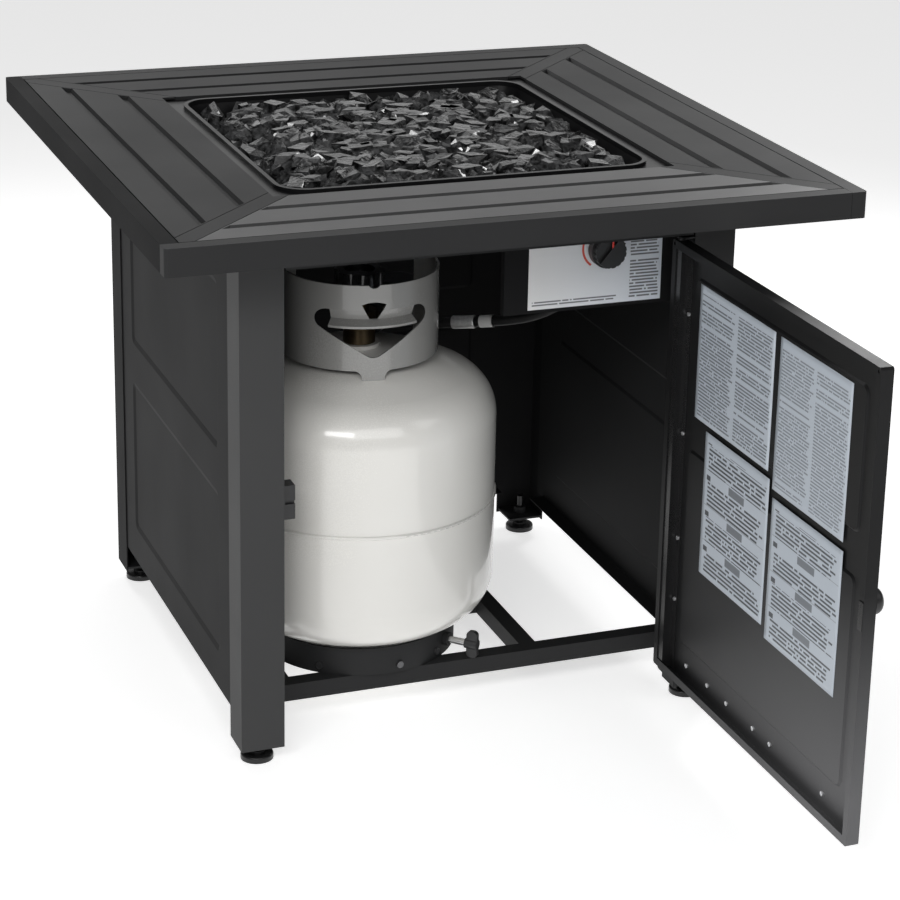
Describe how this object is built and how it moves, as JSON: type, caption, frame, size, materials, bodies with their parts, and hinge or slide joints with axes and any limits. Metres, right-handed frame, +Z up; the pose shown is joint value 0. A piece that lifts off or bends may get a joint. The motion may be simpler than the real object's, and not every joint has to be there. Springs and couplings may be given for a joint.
{
  "type": "fire pit table",
  "caption": "Square gas fire pit table on a steel cabinet, its door open on a white gas cylinder, with a bowl of crushed glass in the top.",
  "frame": {"origin": "on the floor under the middle of the table with its door open, at the middle of the whole box", "axes": "+Z up, -Y towards the doorway and the open door, +X to the right seen from the doorway"},
  "size_m": [0.762, 1.101, 0.6202],
  "materials": {
    "powder_coat": "satin black powder coat with a fine texture",
    "black_plastic": "moulded black plastic",
    "zinc_steel": "zinc-plated steel",
    "white_paint": "gloss warm white paint over welded steel",
    "brass": "turned brass",
    "gloss_black": "glossy moulded black plastic",
    "float_plastic": "moulded pale plastic",
    "grey_zinc": "grey die-cast metal",
    "hose_rubber": "black rubber hose",
    "paper": "coated paper sheet, faint blue grey",
    "bowl_enamel": "gloss black enamel",
    "stainless": "stainless steel with a heat tint",
    "galvanised": "galvanised sheet",
    "spark_ceramic": "white ceramic",
    "fire_glass": "crushed black glass with a clear gloss"
  },
  "bodies": {
    "root": {"base_rails": "powder_coat", "burner": "stainless", "burner_mixer": "stainless", "catch_magnet": "black_plastic", "control_card": "paper", "control_panel": "powder_coat", "corner_strips": "powder_coat", "door_header": "powder_coat", "fire_bowl": "bowl_enamel", "fire_glass": "fire_glass", "foot_plates": "powder_coat", "gas_hose": "hose_rubber", "gas_tube": "stainless", "gas_valve": "grey_zinc", "heat_shield": "galvanised", "hinge_brackets": "powder_coat", "holder_screws": "zinc_steel", "hose_ferrules": "zinc_steel", "hose_tag": "paper", "post_front_left": "powder_coat", "post_front_right": "powder_coat", "post_rear_left": "powder_coat", "post_rear_right": "powder_coat", "rear_panel": "powder_coat", "regulator": "grey_zinc", "rim_rail_front": "powder_coat", "rim_rail_left": "powder_coat", "rim_rail_rear": "powder_coat", "rim_rail_right": "powder_coat", "side_panel_left": "powder_coat", "side_panel_right": "powder_coat", "spark_electrode": "spark_ceramic", "tank_collar": "white_paint", "tank_foot_ring": "white_paint", "tank_holder_ring": "powder_coat", "tank_shell": "white_paint", "tank_valve": "brass", "top_beams": "powder_coat", "top_panel_front": "powder_coat", "top_panel_left": "powder_coat", "top_panel_rear": "powder_coat", "top_panel_right": "powder_coat"},
    "door": {"door_panel": "powder_coat", "door_stiffener": "powder_coat", "hinge_bushes": "black_plastic", "door_knob": "black_plastic", "door_screws": "zinc_steel", "door_sheets": "paper", "catch_strike": "zinc_steel"},
    "knob_stem": {"valve_stem": "zinc_steel"},
    "flame_knob": {"control_knob": "black_plastic"},
    "retainer_screw": {"retainer_stud": "zinc_steel"},
    "retainer_grip": {"retainer_wing": "black_plastic"},
    "foot_front_left": {"foot_front_left": "black_plastic"},
    "foot_front_right": {"foot_front_right": "black_plastic"},
    "foot_rear_left": {"foot_rear_left": "black_plastic"},
    "foot_rear_right": {"foot_rear_right": "black_plastic"},
    "valve_wheel": {"handwheel": "gloss_black"},
    "union_nut": {"coupling_nut": "black_plastic"},
    "fuel_float": {"float_arm": "float_plastic"}
  },
  "joints": [
    {"name": "door_hinge", "type": "hinge", "parent": "root", "child": "door", "pos_m": [0.217, -0.10747, 0.3], "axis": [0, 0, 1], "range_deg": [-90.6, 5]},
    {"name": "knob_push", "type": "slide", "parent": "root", "child": "knob_stem", "axis": [0, 1, 0], "range_m": [0, 0.004], "stiffness_N_per_m": 400, "springref_m": -0.002},
    {"name": "knob_turn", "type": "hinge", "parent": "knob_stem", "child": "flame_knob", "pos_m": [0.151, -0.04547, 0.531], "axis": [0, 1, 0], "range_deg": [0, 180]},
    {"name": "retainer_travel", "type": "slide", "parent": "root", "child": "retainer_screw", "axis": [0.7071, -0.7071, 0], "range_m": [0, 0.00375]},
    {"name": "retainer_turn", "type": "hinge", "parent": "retainer_screw", "child": "retainer_grip", "pos_m": [0.01424, -0.03071, 0.069], "axis": [0.7071, -0.7071, 0], "range_deg": [0, 1080]},
    {"name": "wheel_turn", "type": "hinge", "parent": "root", "child": "valve_wheel", "pos_m": [-0.089, 0.07253, 0.48], "axis": [0, 0, 1], "range_deg": [0, 720]},
    {"name": "nut_turn", "type": "hinge", "parent": "root", "child": "union_nut", "pos_m": [-0.06276, 0.10272, 0.43], "axis": [0.6561, 0.7547, 0], "continuous": true},
    {"name": "float_swing", "type": "hinge", "parent": "root", "child": "fuel_float", "pos_m": [-0.089, 0.07253, 0.356], "axis": [0, 1, 0], "range_deg": [-40, 0]},
    {"name": "foot_front_left_height", "type": "slide", "parent": "root", "child": "foot_front_left", "axis": [0, 0, 1], "range_m": [-0.012, 0]},
    {"name": "foot_rear_left_height", "type": "slide", "parent": "root", "child": "foot_rear_left", "axis": [0, 0, 1], "range_m": [-0.012, 0]},
    {"name": "foot_front_right_height", "type": "slide", "parent": "root", "child": "foot_front_right", "axis": [0, 0, 1], "range_m": [-0.012, 0]},
    {"name": "foot_rear_right_height", "type": "slide", "parent": "root", "child": "foot_rear_right", "axis": [0, 0, 1], "range_m": [-0.012, 0]}
  ],
  "couplings": [
    {"joint": "retainer_turn", "follows": "retainer_travel", "rad_per_m": 5026.5}
  ]
}
